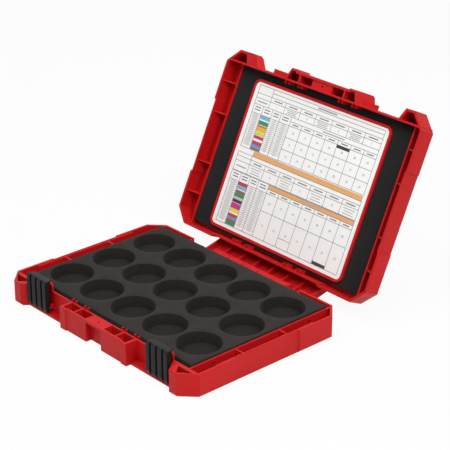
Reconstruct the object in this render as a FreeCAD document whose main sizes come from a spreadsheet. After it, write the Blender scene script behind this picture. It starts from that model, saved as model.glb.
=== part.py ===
import FreeCAD, Part
import math
import os
import Sketcher

# Die carrying case with its lid open. Millimetres, +Z up, the base's centre on the floor at the origin,
# the front towards -Y. The lid and the latches are drawn in frames of their own, whose origins lie on
# the axes that they turn on.

doc = FreeCAD.newDocument("DieCase")

# Driving dimensions, each a cell of the sheet with an alias.
driving = {
    "caseWidth": 328.6,
    "caseDepth": 233.0,
    "baseHeight": 28.5,
    "lidDepth": 230.5,
    "lidHeight": 23.6,
    "partingGap": 0.2,
    "cornerCut": 18.0,
    "edgeChamfer": 2.2,
    "outerWall": 3.0,
    "innerWall": 2.3,
    "innerDrop": 0.8,
    "floorThickness": 3.2,
    "lidSkin": 2.6,
    "bayWidth": 290.4,
    "frontBand": 19.5,
    "backBand": 8.1,
    "slotRib": 2.2,
    "slotRibInner": 32.5,
    "slotRibOuter": 73.3,
    "slotRibOuterDrop": 9.5,
    "wallHoleRadius": 1.5,
    "wallHoleHeight": 21.5,
    "wallHoleFront": -63.8,
    "wallHoleBack": 78.7,
    "sideRecessDepth": 2.4,
    "sideRecessBacking": 1.3,
    "sideRecessHalf": 47.0,
    "sideRecessSlope": 1.4,
    "blockFront": 135.0,
    "blockSlant": 0.78,
    "blockWall": 4.0,
    "cornerSlotInset": 14.2,
    "cornerSlotWall": 10.0,
    "cornerSlotNoseInset": 2.8,
    "cornerSlotNose": 20.9,
    "cornerSlotEnd": 5.7,
    "sillDepth": 9.1,
    "sillThickness": 3.0,
    "handleHalf": 60.0,
    "handlePlateHalf": 48.9,
    "handleSetback": 1.7,
    "handlePlateSetback": 1.5,
    "handleEndWall": 3.4,
    "handleDrop": 0.9,
    "handleWall": 2.5,
    "handleRibOffset": 37.4,
    "handleRib": 2.4,
    "handleCoreHalf": 16.6,
    "handlePocketDepth": 21.0,
    "scoopHalf": 13.5,
    "scoopDepth": 7.2,
    "scoopTopWall": 3.1,
    "handleHoleRadius": 1.4,
    "handleHoleDepth": 3.0,
    "handleHoleInset": 8.2,
    "tongueCentre": 108.2,
    "tongueWidth": 27.1,
    "tongueHeight": 9.7,
    "tongueRound": 5.0,
    "gussetOuter": 56.2,
    "gussetInner": 34.1,
    "gussetSpacing": 6.2,
    "gussetThickness": 1.2,
    "gussetReach": 3.2,
    "gussetProud": 1.5,
    "hingeNotchHalf": 93.6,
    "backSlotInset": 3.0,
    "axisBehind": 10.7,
    "axisBelow": 12.3,
    "openAngle": 115.0,
    "knuckleRadius": 4.4,
    "hingePinRadius": 1.6,
    "hingePinFit": 0.02,
    "hingeRunningFit": 0.06,
    "wingWidth": 183.0,
    "wingRadius": 14.9,
    "wingSkin": 2.2,
    "wingAngle": 37.8,
    "wingStrapInner": 6.1,
    "wingStopGap": 0.3,
    "earThickness": 2.5,
    "earCount": 8,
    "earSideGap": 0.4,
    "lidWallGap": 3.1,
    "lidBayWidth": 288.2,
    "lidSideWallDrop": 11.3,
    "lidBackRecess": 2.4,
    "lidBackRecessHalf": 93.0,
    "lidSlotRibDrop": 1.0,
    "lidSlotRib": 1.6,
    "lidGussetReach": 4.0,
    "lidGussetDrop": 1.9,
    "lidBlockFront": 132.6,
    "lidBlockRoot": 126.2,
    "lidBlockClear": 0.5,
    "lidBlockFrontDraft": 4.2,
    "lidBlockRootDraft": 8.9,
    "lidHandleFront": 54.0,
    "lidHandleDraft": 10.0,
    "lidHandleMiddleHalf": 42.0,
    "lidHandleMiddleSetback": 2.0,
    "lidHandleCoreDrop": 1.5,
    "ledgeEnd": 87.2,
    "ledgeReach": 5.7,
    "ledgeThickness": 2.2,
    "ledgeDrop": 6.6,
    "windowHalf": 17.2,
    "windowHeight": 6.5,
    "chartWidth": 224.2,
    "chartDepth": 185.4,
    "chartThickness": 0.4,
    "chartRound": 6.0,
    "chartDrop": 11.7,
    "chartFromFront": 29.7,
    "chartLip": 3.4,
    "chartLipHeight": 1.0,
    "chartGap": 0.2,
    "latchCentre": 108.9,
    "latchWidth": 35.8,
    "latchTaper": 0.8,
    "latchTopRound": 2.6,
    "latchHeight": 34.6,
    "latchThickness": 3.6,
    "latchFrontReach": 6.4,
    "latchSideDepth": 5.6,
    "latchFlange": 1.9,
    "latchBottomReach": 4.2,
    "latchGrooveWidth": 3.4,
    "latchGrooveDepth": 1.8,
    "latchGroovePitch": 10.3,
    "latchBarrelRadius": 3.9,
    "latchPlateThickness": 3.2,
    "latchNoseReach": 5.1,
    "latchNoseLip": 1.2,
    "latchNoseWidth": 1.7,
    "latchPivotInset": 11.0,
    "latchPivotHeight": 9.6,
    "latchPinRadius": 1.5,
    "latchPinFit": 0.02,
    "latchRunningFit": 0.06,
    "latchEarThickness": 3.0,
    "latchEarRadius": 2.8,
    "latchEarCentre": 14.1,
    "latchEarGap": 0.4,
    "latchEarRelief": 3.3,
    "latchPinRecess": 0.5,
    "latchPinInBlock": 7.0,
    "latchReliefRadius": 6.75,
    "latchReliefGap": 0.6,
    "pocketDiameter": 52.0,
    "pocketPitchAcross": 57.0,
    "pocketPitchDeep": 62.5,
    "pocketColumns": 5,
    "pocketRows": 3,
    "pocketShift": 1.1,
    "pocketFoamThickness": 13.8,
    "backingFoamThickness": 13.2,
    "foamSideGap": 0.3,
    "foamFrontGap": 3.4,
    "lidFoamThickness": 8.2,
    "lidFoamBackGap": 3.3,
    "lidFoamWindowGap": 0.5,
}

sheet = doc.addObject("Spreadsheet::Sheet", "Dimensions")
for row, (alias, number) in enumerate(driving.items(), start=1):
    sheet.set("A%d" % row, alias)
    sheet.set("B%d" % row, str(number))
    sheet.setAlias("B%d" % row, alias)
doc.recompute()


class Size:
    """A length with its value and the formula over the sheet's cells that gives it."""

    def __init__(self, value, formula):
        self.value = float(value)
        self.formula = formula

    def __add__(self, other):
        return combine(self, "+", other)

    def __radd__(self, other):
        return combine(other, "+", self)

    def __sub__(self, other):
        return combine(self, "-", other)

    def __rsub__(self, other):
        return combine(other, "-", self)

    def __mul__(self, other):
        return combine(self, "*", other)

    def __rmul__(self, other):
        return combine(other, "*", self)

    def __truediv__(self, other):
        return combine(self, "/", other)

    def __rtruediv__(self, other):
        return combine(other, "/", self)

    def __neg__(self):
        return Size(-self.value, "(0 - %s)" % self.formula)


def size(number):
    return number if isinstance(number, Size) else Size(number, repr(float(number)))


def combine(left, sign, right):
    left = size(left)
    right = size(right)
    results = {
        "+": left.value + right.value,
        "-": left.value - right.value,
        "*": left.value * right.value,
    }
    value = left.value / right.value if sign == "/" else results[sign]
    return Size(value, "(%s %s %s)" % (left.formula, sign, right.formula))


def sine(angle):
    return Size(math.sin(math.radians(angle.value)), "sin(%s * 1deg)" % angle.formula)


def cosine(angle):
    return Size(math.cos(math.radians(angle.value)), "cos(%s * 1deg)" % angle.formula)


def arcsine(ratio):
    degrees = math.degrees(math.asin(ratio.value))
    return Size(degrees, "(asin(%s) / 1deg)" % ratio.formula)


class Cells:
    """Every driving dimension by its alias."""

    def __getattr__(self, alias):
        return Size(driving[alias], "Dimensions.%s" % alias)


d = Cells()


def bind(feature, name, length):
    length = size(length)
    setattr(feature, name, length.value)
    feature.setExpression(name, length.formula)


def origin_plane(body, role):
    return [plane for plane in body.Origin.OriginFeatures if plane.Role == role][0]


def make_body(label):
    body = doc.addObject("PartDesign::Body", label)
    body.Label = label
    return body


def make_sketch(body, name, role, shift):
    """A sketch on an origin plane, moved by shift in the plane's own x, y and normal."""
    sketch = body.newObject("Sketcher::SketchObject", name)
    sketch.AttachmentSupport = [(origin_plane(body, role), "")]
    sketch.MapMode = "FlatFace"
    base = [size(step) for step in shift]
    offset = FreeCAD.Vector(base[0].value, base[1].value, base[2].value)
    sketch.AttachmentOffset = FreeCAD.Placement(offset, FreeCAD.Rotation())
    for axis, step in zip("xyz", base):
        sketch.setExpression("AttachmentOffset.Base.%s" % axis, step.formula)
    return sketch


def fix(sketch, kind, geometry, point, length):
    index = sketch.addConstraint(Sketcher.Constraint(kind, -1, 1, geometry, point, length.value))
    sketch.setExpression("Constraints[%d]" % index, length.formula)


def draw(sketch, corners):
    """Draw a closed outline. Each corner is (x, y), reached by a straight line, or (x, y, turn),
    reached by an arc about the sketch's origin, where turn is 1 for anticlockwise."""
    points = [(size(corner[0]), size(corner[1])) for corner in corners]
    count = len(corners)
    edges = []
    for number in range(count):
        here = points[number]
        there = points[(number + 1) % count]
        turn = (tuple(corners[(number + 1) % count]) + (0,))[2]
        start = FreeCAD.Vector(here[0].value, here[1].value, 0)
        end = FreeCAD.Vector(there[0].value, there[1].value, 0)
        if turn == 0:
            edges.append((sketch.addGeometry(Part.LineSegment(start, end), False), 1, 2))
            continue
        first, last = (start, end) if turn > 0 else (end, start)
        circle = Part.Circle(FreeCAD.Vector(), FreeCAD.Vector(0, 0, 1), start.Length)
        low = math.atan2(first.y, first.x)
        high = math.atan2(last.y, last.x)
        high = high + 2 * math.pi if high < low else high
        arc = sketch.addGeometry(Part.ArcOfCircle(circle, low, high), False)
        sketch.addConstraint(Sketcher.Constraint("Coincident", arc, 3, -1, 1))
        edges.append((arc, 1, 2) if turn > 0 else (arc, 2, 1))
    for number in range(count):
        edge, start, _ = edges[number]
        previous, _, end = edges[number - 1]
        sketch.addConstraint(Sketcher.Constraint("Coincident", previous, end, edge, start))
        x, y = points[number]
        on_arc = len(corners[number]) > 2
        if not on_arc or abs(x.value) <= abs(y.value):
            fix(sketch, "DistanceX", edge, start, x)
        if not on_arc or abs(x.value) > abs(y.value):
            fix(sketch, "DistanceY", edge, start, y)


def draw_circle(sketch, x, y, radius):
    x = size(x)
    y = size(y)
    radius = size(radius)
    centre = FreeCAD.Vector(x.value, y.value, 0)
    circle = sketch.addGeometry(Part.Circle(centre, FreeCAD.Vector(0, 0, 1), radius.value), False)
    if x.value == 0 and y.value == 0:
        sketch.addConstraint(Sketcher.Constraint("Coincident", circle, 3, -1, 1))
    else:
        fix(sketch, "DistanceX", circle, 3, x)
        fix(sketch, "DistanceY", circle, 3, y)
    index = sketch.addConstraint(Sketcher.Constraint("Radius", circle, radius.value))
    sketch.setExpression("Constraints[%d]" % index, radius.formula)


def extrude(body, kind, name, sketch, length, reversed_way=False, midplane=False):
    feature = body.newObject(kind, name)
    feature.Profile = sketch
    bind(feature, "Length", length)
    feature.Reversed = reversed_way
    feature.Midplane = midplane
    sketch.Visibility = False
    return feature


def pad(body, name, shapes, level, height):
    """Add a prism over outlines on a level plane, upwards from level."""
    sketch = make_sketch(body, name + "Sketch", "XY_Plane", (0, 0, level))
    for shape in shapes:
        draw(sketch, shape)
    return extrude(body, "PartDesign::Pad", name, sketch, height)


def cut(body, name, shapes, level, height):
    """Remove a prism over outlines on a level plane, upwards from level."""
    sketch = make_sketch(body, name + "Sketch", "XY_Plane", (0, 0, level))
    for shape in shapes:
        draw(sketch, shape)
    return extrude(body, "PartDesign::Pocket", name, sketch, height, reversed_way=True)


def across(body, kind, name, shapes, width, centre=0, shift_y=0, shift_z=0):
    """Add or remove a prism along X, centred on centre, over outlines in the plane of Y and Z."""
    sketch = make_sketch(body, name + "Sketch", "YZ_Plane", (shift_y, shift_z, centre))
    for shape in shapes:
        draw(sketch, shape)
    return extrude(body, kind, name, sketch, width, midplane=True)


def along(body, name, shapes, depth, centre):
    """Add a prism along Y, centred on centre, over outlines in the plane of X and Z."""
    sketch = make_sketch(body, name + "Sketch", "XZ_Plane", (0, 0, -size(centre)))
    for shape in shapes:
        draw(sketch, shape)
    return extrude(body, "PartDesign::Pad", name, sketch, depth, midplane=True)


def loft(body, kind, name, stages):
    """Add or remove the solid through outlines of equal corner count, each given with its level."""
    sketches = []
    for number, (outline, level) in enumerate(stages):
        sketch = make_sketch(body, "%sStage%d" % (name, number), "XY_Plane", (0, 0, level))
        draw(sketch, outline)
        sketch.Visibility = False
        sketches.append(sketch)
    feature = body.newObject(kind, name)
    feature.Profile = sketches[0]
    feature.Sections = sketches[1:]
    feature.Ruled = True
    return feature


def bore(body, name, radius, width, centre=0, shift_y=0, shift_z=0):
    sketch = make_sketch(body, name + "Sketch", "YZ_Plane", (shift_y, shift_z, centre))
    draw_circle(sketch, 0, 0, radius)
    return extrude(body, "PartDesign::Pocket", name, sketch, width, midplane=True)


def box(left, right, low, high):
    return [(left, low), (right, low), (right, high), (left, high)]


def mirrored(outline):
    return [(-size(x), y) for x, y in reversed(outline)]


def both_sides(outline):
    return [outline, mirrored(outline)]


def row_along_x(body, name, feature, length, count):
    doc.recompute()
    pattern = body.newObject("PartDesign::LinearPattern", name)
    pattern.Originals = [feature]
    sketch = feature.Profile[0]
    pattern.Direction = (sketch, ["N_Axis"])
    bind(pattern, "Length", length)
    pattern.Occurrences = int(count.value)
    pattern.setExpression("Occurrences", count.formula)
    body.Tip = pattern
    return pattern


def edge_names(shape, wanted):
    return ["Edge%d" % (i + 1) for i, edge in enumerate(shape.Edges) if wanted(edge)]


def dress(body, kind, name, sizing, amount, wanted):
    """Round or chamfer the tip's edges that pass the test wanted."""
    doc.recompute()
    tip = body.Tip
    names = edge_names(tip.Shape, wanted)
    feature = body.newObject(kind, name)
    feature.Base = (tip, names)
    bind(feature, sizing, amount)
    return feature


def is_upright(edge):
    tangent = edge.tangentAt(edge.FirstParameter)
    return isinstance(edge.Curve, Part.Line) and abs(tangent.z) > 0.999


def is_level_at(height):
    def test(edge):
        return all(abs(vertex.Z - height) < 1e-4 for vertex in edge.Vertexes) and len(edge.Vertexes) > 1
    return test


# Places shared by the pieces, in the base's frame.
side = d.caseWidth / 2
front = -d.caseDepth / 2
back = d.caseDepth / 2
bay_side = d.bayWidth / 2
bay_front = front + d.frontBand
bay_back = back - d.backBand
wall_front = bay_front - d.innerWall
wall_back = bay_back + d.innerWall
wall_side = bay_side + d.innerWall
slot_side = side - d.outerWall
inner_rim = d.baseHeight - d.innerDrop
axis_y = back + d.axisBehind
axis_z = d.baseHeight - d.axisBelow
pivot_y = front + d.latchPivotInset
mitre = 2 - math.sqrt(2)


def octagon(half, low, high, corner):
    return [
        (-half + corner, low),
        (half - corner, low),
        (half, low + corner),
        (half, high - corner),
        (half - corner, high),
        (-half + corner, high),
        (-half, high - corner),
        (-half, low + corner),
    ]


def cut_side_recesses(body, name, shift, low, high, hollow_low, hollow_high):
    """Recess with sloped ends along each side, and the thicker wall behind it that keeps it whole."""
    reach = d.sideRecessHalf + d.sideRecessSlope
    inner_reach = reach + d.sideRecessBacking
    backing = [
        (slot_side + d.outerWall / 2, -inner_reach - shift),
        (slot_side + d.outerWall / 2, inner_reach - shift),
        (slot_side - d.sideRecessBacking, reach - shift),
        (slot_side - d.sideRecessBacking, -reach - shift),
    ]
    pad(body, name + "RecessBacking", both_sides(backing), hollow_low, hollow_high - hollow_low)
    recess = [
        (side, -reach - shift),
        (side, reach - shift),
        (side - d.sideRecessDepth, d.sideRecessHalf - shift),
        (side - d.sideRecessDepth, -d.sideRecessHalf - shift),
    ]
    cut(body, name + "Recesses", both_sides(recess), low, high - low)


def block_face(y):
    """Half-width of the latch bay at a depth y: it narrows from the front face backwards."""
    return d.blockFront - (y - front) * d.blockSlant


def gusset_outlines(wall_y, reach):
    """Plan of the small paired ribs that stand on a wall across the case."""
    outlines = []
    for centre in (d.gussetOuter, d.gussetInner):
        for step in (-0.5, 0.5):
            middle = centre + d.gussetSpacing * step
            left = middle - d.gussetThickness / 2
            right = middle + d.gussetThickness / 2
            low, high = (wall_y, wall_y + reach) if size(reach).value > 0 else (wall_y + reach, wall_y)
            outlines += both_sides(box(left, right, low, high))
    return outlines


def make_base():
    body = make_body("base_shell")
    pad(body, "BaseBlank", [octagon(side, front, back, d.cornerCut)], 0, d.baseHeight)
    dress(body, "PartDesign::Chamfer", "BaseFootChamfer", "Size", d.edgeChamfer, is_level_at(0))

    # Inside the outer wall everything stands a little lower than the rim.
    inner_corner = d.cornerCut - d.outerWall * mitre
    inner_outline = octagon(slot_side, front + d.outerWall, back - d.outerWall, inner_corner)
    cut(body, "InnerRimDrop", [inner_outline], inner_rim, d.innerDrop)
    bay = box(-bay_side, bay_side, bay_front, bay_back)
    cut(body, "FoamBay", [bay], d.floorThickness, d.baseHeight - d.floorThickness)

    # Open slots between the inner and outer side walls, parted by cross ribs.
    rib = d.slotRib / 2
    recessed = slot_side - d.sideRecessDepth
    edges = [-d.slotRibOuter, -d.slotRibInner, d.slotRibInner, d.slotRibOuter]
    slots = both_sides(box(wall_side, slot_side, bay_front, edges[0] - rib))
    for low, high in zip(edges[:-1], edges[1:]):
        slots += both_sides(box(wall_side, recessed, low + rib, high - rib))
    corner_y = back - d.outerWall - inner_corner
    slots += both_sides([
        (wall_side, edges[3] + rib),
        (slot_side, edges[3] + rib),
        (slot_side, corner_y),
        (wall_side, corner_y + slot_side - wall_side),
    ])
    back_slot_start = d.hingeNotchHalf + d.backSlotInset
    slots += both_sides(box(back_slot_start, slot_side - inner_corner, wall_back, back - d.outerWall))
    cut(body, "WallSlots", slots, d.floorThickness, d.baseHeight - d.floorThickness)

    # The outer cross ribs stand lower, and two small holes go through each inner side wall.
    low_ribs = []
    for middle in (-d.slotRibOuter, d.slotRibOuter):
        low_ribs += both_sides(box(wall_side, slot_side, middle - rib, middle + rib))
    cut(body, "LowRibs", low_ribs, inner_rim - d.slotRibOuterDrop, d.slotRibOuterDrop)
    holes = make_sketch(body, "WallHolesSketch", "YZ_Plane", (0, 0, 0))
    for y in (d.wallHoleFront, d.wallHoleBack):
        draw_circle(holes, y, d.wallHoleHeight, d.wallHoleRadius)
    extrude(body, "PartDesign::Pocket", "WallHoles", holes, wall_side + slot_side, midplane=True)

    cut_side_recesses(body, "Side", 0, 0, d.baseHeight, d.floorThickness, inner_rim)

    # Front zone: latch bays with a sill under the latches, and the handle block between them.
    zone = [
        (-d.blockFront, front),
        (d.blockFront, front),
        (block_face(wall_front), wall_front),
        (-block_face(wall_front), wall_front),
    ]
    cut(body, "FrontZone", [zone], 0, d.baseHeight)
    sill_front = wall_front - d.sillDepth
    sill = [
        (-block_face(sill_front), sill_front),
        (block_face(sill_front), sill_front),
        (block_face(wall_front), wall_front),
        (-block_face(wall_front), wall_front),
    ]
    pad(body, "LatchSill", [sill], 0, d.sillThickness)
    corner_slot_back = front + d.cornerSlotInset
    corner_slot = [
        (block_face(corner_slot_back) + d.cornerSlotWall, corner_slot_back),
        (side - d.cornerSlotNose, front + d.cornerSlotNoseInset),
        (side - d.cornerSlotEnd, corner_slot_back),
    ]
    cut(body, "CornerSlots", both_sides(corner_slot), d.floorThickness, d.baseHeight - d.floorThickness)
    make_base_handle(body)

    # Tongues that stand on the front wall inside the closed lid's wall.
    tongue = box(
        d.tongueCentre - d.tongueWidth / 2,
        d.tongueCentre + d.tongueWidth / 2,
        wall_front,
        bay_front,
    )
    pad(body, "Tongues", both_sides(tongue), inner_rim, d.tongueHeight)
    tongue_top = inner_rim.value + driving["tongueHeight"]

    def at_tongue_corner(edge):
        middle = edge.CenterOfMass
        level = is_level_at(tongue_top)(edge)
        return level and abs(edge.Vertexes[0].X - edge.Vertexes[1].X) < 1e-4 and middle.y < 0
    dress(body, "PartDesign::Fillet", "TongueRounds", "Radius", d.tongueRound, at_tongue_corner)
    gusset_height = d.baseHeight + d.gussetProud - d.floorThickness
    pad(body, "BayGussets", gusset_outlines(bay_front, d.gussetReach), d.floorThickness, gusset_height)

    make_base_hinge(body)
    make_latch_seats(body)
    return body


def make_base_handle(body):
    """Handle block: a plate between two shoulders, pockets open at the top and a finger scoop below."""
    shoulder = front + d.handleSetback
    plate = shoulder + d.handlePlateSetback
    half = [
        (d.handleHalf, wall_front),
        (d.handleHalf, shoulder),
        (d.handlePlateHalf + d.handlePlateSetback, shoulder),
        (d.handlePlateHalf, plate),
    ]
    outline = half + [(-x, y) for x, y in reversed(half)]
    pad(body, "HandleBlock", [outline[::-1]], 0, d.baseHeight - d.handleDrop)
    inside = plate + d.handleWall
    rib = d.handleRib / 2
    pockets = both_sides(box(d.handleCoreHalf, d.handleRibOffset - rib, inside, wall_front))
    end = d.handleHalf - d.handleEndWall
    pockets += both_sides([
        (d.handleRibOffset + rib, inside),
        (d.handlePlateHalf, inside),
        (d.handlePlateHalf + d.handlePlateSetback, shoulder + d.handleWall),
        (end, shoulder + d.handleWall),
        (end, wall_front),
        (d.handleRibOffset + rib, wall_front),
    ])
    pocket_floor = d.baseHeight - d.handlePocketDepth
    cut(body, "HandlePockets", pockets, pocket_floor, d.handlePocketDepth)
    scoop = box(-d.scoopHalf, d.scoopHalf, shoulder, plate + d.scoopDepth)
    cut(body, "FingerScoop", [scoop], 0, d.baseHeight - d.handleDrop - d.scoopTopWall)
    hole = make_sketch(body, "HandleHoleSketch", "XY_Plane", (0, 0, d.baseHeight - d.handleDrop - d.handleHoleDepth))
    draw_circle(hole, 0, plate + d.handleHoleInset, d.handleHoleRadius)
    extrude(body, "PartDesign::Pocket", "HandleHole", hole, d.handleHoleDepth, reversed_way=True)


def make_base_hinge(body):
    """Knuckles on the back wall, one between each two ears of the lid, bored for the hinge pin."""
    notch = box(-d.hingeNotchHalf, d.hingeNotchHalf, wall_back, back)
    cut(body, "HingeNotch", [notch], 0, d.baseHeight)
    pitch = (d.wingWidth - d.earThickness) / (d.earCount - 1)
    knuckle_length = pitch - d.earThickness - 2 * d.earSideGap
    arm = wall_back - axis_y - d.innerWall / 2
    outline = [
        (arm, -d.knuckleRadius),
        (0, -d.knuckleRadius),
        (0, d.knuckleRadius, 1),
        (arm, -d.knuckleRadius / 4),
    ]
    span = pitch * (d.earCount - 4)
    knuckle = across(body, "PartDesign::Pad", "HingeKnuckle", [outline], knuckle_length, -span / 2, axis_y, axis_z)
    row_along_x(body, "HingeKnuckles", knuckle, span, d.earCount - 3)
    radius = d.hingePinRadius + d.hingePinFit
    bore(body, "HingeBore", radius, hinge_pin_length(), 0, axis_y, axis_z)


def hinge_pin_length():
    """The pin goes from the second ear's outer face to that of the last but one."""
    pitch = (d.wingWidth - d.earThickness) / (d.earCount - 1)
    return pitch * (d.earCount - 3) + d.earThickness


def make_latch_seats(body):
    """An ear that stands in each latch's slot, and a bore through it into the corner block, for the latch pin."""
    ear_middle = d.latchCentre - d.latchEarCentre
    inner_end = ear_middle - d.latchEarThickness / 2
    root = wall_front - pivot_y + d.innerWall / 2
    outline = [
        (root, -d.latchEarRadius),
        (root, d.latchEarRadius),
        (0, d.latchEarRadius),
        (0, -d.latchEarRadius, 1),
    ]
    pin_end = block_face(pivot_y) + d.latchPinInBlock
    middle = (inner_end + pin_end) / 2
    radius = d.latchPinRadius + d.latchPinFit
    relief_inner = block_face(wall_front)
    relief_outer = d.latchCentre + d.latchWidth / 2 + d.latchReliefGap
    relief_middle = (relief_inner + relief_outer) / 2
    for way, hand in ((-1, "Left"), (1, "Right")):
        bore(body, "LatchRelief" + hand, d.latchReliefRadius, relief_outer - relief_inner,
             way * relief_middle, pivot_y, d.latchPivotHeight)
        across(body, "PartDesign::Pad", "LatchEar" + hand, [outline], d.latchEarThickness,
               way * ear_middle, pivot_y, d.latchPivotHeight)
        bore(body, "LatchBore" + hand, radius, pin_end - inner_end, way * middle,
             pivot_y, d.latchPivotHeight)


# The lid's frame: the origin on the hinge axis, the lid shut. The placement opens it.
lid_front = -(d.caseDepth + d.axisBehind)
lid_back = lid_front + d.lidDepth
lid_rim = d.axisBelow + d.partingGap
lid_top = lid_rim + d.lidHeight
lid_inside = lid_top - d.lidSkin
lid_wall_front = wall_front - axis_y - d.lidWallGap
lid_bay_front = lid_wall_front + d.innerWall
lid_bay_back = lid_back - d.lidBackRecess - d.innerWall
lid_bay_side = d.lidBayWidth / 2
chart_level = lid_rim + d.chartDrop
chart_front = lid_front + d.chartFromFront
chart_back = chart_front + d.chartDepth


def open_lid(body):
    place = FreeCAD.Vector(0, axis_y.value, axis_z.value)
    body.Placement = FreeCAD.Placement(place, FreeCAD.Rotation(FreeCAD.Vector(-1, 0, 0), driving["openAngle"]))
    body.setExpression("Placement.Base.y", axis_y.formula)
    body.setExpression("Placement.Base.z", axis_z.formula)
    body.setExpression("Placement.Rotation.Angle", d.openAngle.formula)


def latch_bay_plan(handle_draft, block_draft, way, inset=0):
    """Plan of one of the lid's latch bays, from no draft (0) to the draft at the lid's top (1) at either end.
    With an inset it is wider by that much at each side."""
    handle_front = d.lidHandleFront + d.lidHandleDraft * handle_draft - inset
    handle_root = d.handleHalf + d.lidHandleDraft * handle_draft - inset
    block_root = d.lidBlockRoot - d.lidBlockRootDraft * block_draft + inset
    block_front = d.lidBlockFront - d.lidBlockFrontDraft * block_draft + inset
    plan = [
        (handle_front, lid_front),
        (block_front, lid_front),
        (block_root, lid_wall_front),
        (handle_root, lid_wall_front),
    ]
    return plan if way > 0 else mirrored(plan)


def latch_bay_stages(way, top, inset=0):
    """The bay stands upright at the block up to the shut latch's top, and slopes above it."""
    clear = d.latchPivotHeight + d.latchHeight + d.lidBlockClear - axis_z
    share = (clear - lid_rim) / d.lidHeight
    return [
        (latch_bay_plan(0, 0, way, inset), lid_rim),
        (latch_bay_plan(share, 0, way, inset), clear),
        (latch_bay_plan(1, 1, way, inset), top),
    ]


def make_lid():
    body = make_body("lid_shell")
    outline = octagon(side, lid_front, lid_back, d.cornerCut)
    pad(body, "LidBlank", [outline], lid_rim, d.lidHeight)
    dress(body, "PartDesign::Chamfer", "LidTopChamfer", "Size", d.edgeChamfer, is_level_at(lid_top.value))
    inner_corner = d.cornerCut - d.outerWall * mitre
    hollow = octagon(slot_side, lid_front + d.outerWall, lid_back - d.outerWall, inner_corner)
    cut(body, "LidHollow", [hollow], lid_rim, d.lidHeight - d.lidSkin)

    cut_side_recesses(body, "LidSide", axis_y, lid_rim, lid_top, lid_rim, lid_top - d.lidSkin / 2)

    # Walls that stand the whole height of the lid.
    walls = [box(-slot_side, slot_side, lid_wall_front, lid_bay_front)]
    depth = d.lidHeight - d.lidSkin / 2
    pad(body, "LidFrontWall", walls, lid_rim, depth)
    for way, hand in ((-1, "Left"), (1, "Right")):
        stages = latch_bay_stages(way, lid_rim + depth, d.outerWall)
        loft(body, "PartDesign::AdditiveLoft", "LidBayBlock" + hand, stages)
    make_lid_handle(body, depth)
    for way, hand in ((-1, "Left"), (1, "Right")):
        loft(body, "PartDesign::SubtractiveLoft", "LidLatchBay" + hand, latch_bay_stages(way, lid_top))

    # Low inner side walls, the ribs across the slots, and the wall behind the hinge recess.
    low_wall = lid_rim + d.lidSideWallDrop
    side_walls = both_sides(box(lid_bay_side, lid_bay_side + d.innerWall, lid_bay_front, lid_back - d.outerWall))
    pad(body, "LidSideWalls", side_walls, low_wall, lid_top - d.lidSkin / 2 - low_wall)
    rib_top = lid_top - d.lidSkin / 2
    rib = [
        (lid_bay_side + d.innerWall / 2, low_wall),
        (slot_side + d.outerWall / 4, lid_rim + d.lidSlotRibDrop),
        (slot_side + d.outerWall / 4, rib_top),
        (lid_bay_side + d.innerWall / 2, rib_top),
    ]
    for number, y in enumerate((-d.slotRibOuter, -d.slotRibInner, d.slotRibInner, d.slotRibOuter)):
        along(body, "LidSlotRib%s" % "ABCD"[number], both_sides(rib), d.lidSlotRib, y - axis_y)
    back_wall = box(
        -d.lidBackRecessHalf - d.outerWall,
        d.lidBackRecessHalf + d.outerWall,
        lid_bay_back,
        lid_back - d.outerWall / 2,
    )
    pad(body, "LidBackWall", [back_wall], lid_rim, depth)
    recess_end = d.lidBackRecessHalf - d.sideRecessSlope
    back_recess = [
        (-d.lidBackRecessHalf, lid_back),
        (-recess_end, lid_back - d.lidBackRecess),
        (recess_end, lid_back - d.lidBackRecess),
        (d.lidBackRecessHalf, lid_back),
    ]
    cut(body, "LidBackRecess", [back_recess], lid_rim, strap_height(lid_back) - lid_rim - d.partingGap)
    gussets = gusset_outlines(lid_bay_front, d.lidGussetReach)
    gussets += gusset_outlines(lid_bay_back, -d.lidGussetReach)
    gusset_level = lid_rim + d.lidGussetDrop
    gusset_end = lid_inside - d.lidFoamThickness - d.foamSideGap
    pad(body, "LidGussets", gussets, gusset_level, gusset_end - gusset_level)
    make_lid_fronts(body)
    make_lid_panel(body)
    make_lid_wing(body)
    open_lid(body)
    return body


def make_lid_handle(body, depth):
    """Handle block of the lid: front plate set back in the middle, ribs and a solid core behind it."""
    set_back = lid_front + d.lidHandleMiddleSetback
    slope = d.lidHandleMiddleHalf + d.lidHandleMiddleSetback
    backing = [
        (-slope - d.outerWall, lid_front + d.outerWall / 2),
        (slope + d.outerWall, lid_front + d.outerWall / 2),
        (d.lidHandleMiddleHalf + d.outerWall, set_back + d.outerWall),
        (-d.lidHandleMiddleHalf - d.outerWall, set_back + d.outerWall),
    ]
    pad(body, "LidHandleBacking", [backing], lid_rim, depth)
    wall_end = lid_wall_front + d.innerWall / 2
    rib = d.handleRib / 2
    walls = both_sides(box(d.handleRibOffset - rib, d.handleRibOffset + rib, lid_front + d.outerWall / 2, wall_end))
    pad(body, "LidHandleWalls", walls, lid_rim, depth)
    core = box(-d.handleCoreHalf, d.handleCoreHalf, set_back + d.outerWall / 2, wall_end)
    pad(body, "LidHandleCore", [core], lid_rim + d.lidHandleCoreDrop, depth - d.lidHandleCoreDrop)
    middle = [
        (-slope, lid_front),
        (slope, lid_front),
        (d.lidHandleMiddleHalf, set_back),
        (-d.lidHandleMiddleHalf, set_back),
    ]
    cut(body, "LidHandleMiddle", [middle], lid_rim, d.lidHeight)
    hole = make_sketch(body, "LidHandleHoleSketch", "XY_Plane", (0, 0, lid_rim + d.lidHandleCoreDrop))
    draw_circle(hole, 0, (set_back + d.outerWall + lid_wall_front) / 2, d.handleHoleRadius)
    extrude(body, "PartDesign::Pocket", "LidHandleHole", hole, d.handleHoleDepth, reversed_way=True)


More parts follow.
